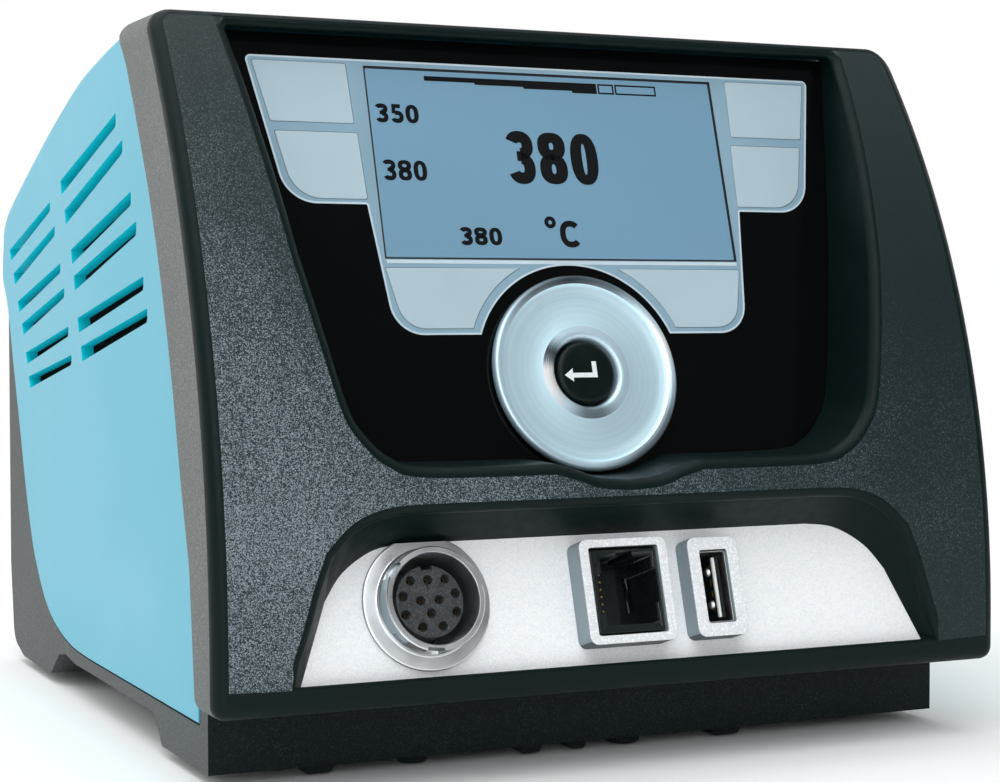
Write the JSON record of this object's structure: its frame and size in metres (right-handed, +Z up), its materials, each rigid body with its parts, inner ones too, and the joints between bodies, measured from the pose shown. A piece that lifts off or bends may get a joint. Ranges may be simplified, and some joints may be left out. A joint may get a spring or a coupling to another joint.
{
  "type": "soldering iron station",
  "caption": "Bench soldering station: bowed dark front with display, keys and a turning click wheel, tool socket and ports below, vented light hood, mains inlet and rocker at the back.",
  "frame": {"origin": "on the floor, under the middle of the unit's bounding box", "axes": "+Z up, +Y to the rear, +X to the right as seen from the front"},
  "size_m": [0.151, 0.1705, 0.13],
  "materials": {
    "bezel_plastic": "textured",
    "base_plastic": "textured",
    "cover_paint": "satin",
    "panel_gloss": "gloss",
    "key_pale": "satin",
    "lcd_face": "satin",
    "wheel_metal": "turned",
    "black_plastic": "satin",
    "silver_paint": "metallic paint",
    "bright_metal": "polished",
    "gold_contact": "plated",
    "zinc_steel": "plated",
    "white_plastic": "satin",
    "board_green": "lacquered",
    "winding": "wound",
    "aluminium": "satin",
    "rubber": "matte",
    "rear_panel_paint": "powder coat"
  },
  "bodies": {
    "station": {"front_bezel": "bezel_plastic", "control_panel": "panel_gloss", "lcd_module": "lcd_face", "wheel_encoder": "black_plastic", "display_board": "board_green", "port_plate": "silver_paint", "tool_socket_shell": "bright_metal", "tool_socket_insert": "black_plastic", "tool_socket_nut": "zinc_steel", "data_jack": "black_plastic", "data_jack_contacts": "gold_contact", "usb_shell": "zinc_steel", "usb_tongue": "white_plastic", "port_board": "board_green", "hood_cover": "cover_paint", "lower_housing": "base_plastic", "rear_panel": "rear_panel_paint", "mains_inlet": "black_plastic", "inlet_pin_live": "zinc_steel", "inlet_pin_neutral": "zinc_steel", "inlet_pin_earth": "zinc_steel", "switch_frame": "black_plastic", "bonding_socket": "bright_metal", "toroid_transformer": "winding", "transformer_washer": "zinc_steel", "transformer_bolt": "zinc_steel", "main_board": "board_green", "heat_sink": "aluminium", "capacitor_left": "black_plastic", "capacitor_right": "black_plastic", "base_screw_front_left": "zinc_steel", "foot_front_left": "rubber", "board_pillar_front_left": "aluminium", "base_screw_front_right": "zinc_steel", "foot_front_right": "rubber", "board_pillar_front_right": "aluminium", "base_screw_rear_left": "zinc_steel", "foot_rear_left": "rubber", "board_pillar_rear_left": "aluminium", "base_screw_rear_right": "zinc_steel", "foot_rear_right": "rubber", "board_pillar_rear_right": "aluminium", "panel_screw_upper_left": "zinc_steel", "panel_screw_upper_right": "zinc_steel", "panel_screw_lower_left": "zinc_steel", "panel_screw_lower_right": "zinc_steel"},
    "key_upper_left": {"key_upper_left": "key_pale"},
    "key_upper_right": {"key_upper_right": "key_pale"},
    "key_lower_left": {"key_lower_left": "key_pale"},
    "key_lower_right": {"key_lower_right": "key_pale"},
    "key_bottom_left": {"key_bottom_left": "key_pale"},
    "key_bottom_right": {"key_bottom_right": "key_pale"},
    "click_wheel": {"click_wheel": "wheel_metal"},
    "enter_button": {"enter_button": "black_plastic"},
    "fuse_drawer": {"fuse_drawer": "black_plastic"},
    "power_rocker": {"power_rocker": "black_plastic"}
  },
  "joints": [
    {"name": "key_upper_left_press", "type": "slide", "parent": "station", "child": "key_upper_left", "axis": [0, 0.9561, -0.293], "range_m": [0, 0.0005], "stiffness_N_per_m": 400, "springref_m": -0.0008},
    {"name": "key_upper_right_press", "type": "slide", "parent": "station", "child": "key_upper_right", "axis": [0, 0.9561, -0.293], "range_m": [0, 0.0005], "stiffness_N_per_m": 400, "springref_m": -0.0008},
    {"name": "key_lower_left_press", "type": "slide", "parent": "station", "child": "key_lower_left", "axis": [0, 0.9561, -0.293], "range_m": [0, 0.0005], "stiffness_N_per_m": 400, "springref_m": -0.0008},
    {"name": "key_lower_right_press", "type": "slide", "parent": "station", "child": "key_lower_right", "axis": [0, 0.9561, -0.293], "range_m": [0, 0.0005], "stiffness_N_per_m": 400, "springref_m": -0.0008},
    {"name": "key_bottom_left_press", "type": "slide", "parent": "station", "child": "key_bottom_left", "axis": [0, 0.9561, -0.293], "range_m": [0, 0.0005], "stiffness_N_per_m": 400, "springref_m": -0.0008},
    {"name": "key_bottom_right_press", "type": "slide", "parent": "station", "child": "key_bottom_right", "axis": [0, 0.9561, -0.293], "range_m": [0, 0.0005], "stiffness_N_per_m": 400, "springref_m": -0.0008},
    {"name": "click_wheel_turn", "type": "hinge", "parent": "station", "child": "click_wheel", "pos_m": [0, -0.06278, 0.06693], "axis": [0, -0.9561, 0.293], "continuous": true},
    {"name": "enter_button_press", "type": "slide", "parent": "station", "child": "enter_button", "axis": [0, 0.9561, -0.293], "range_m": [0, 0.0008], "stiffness_N_per_m": 600, "springref_m": -0.001},
    {"name": "fuse_drawer_slide", "type": "slide", "parent": "station", "child": "fuse_drawer", "axis": [0, 1, 0], "range_m": [0, 0.012]},
    {"name": "power_rocker_tilt", "type": "hinge", "parent": "station", "child": "power_rocker", "pos_m": [0.002, 0.07112, 0.044], "axis": [1, 0, 0], "range_deg": [0, 16]}
  ]
}
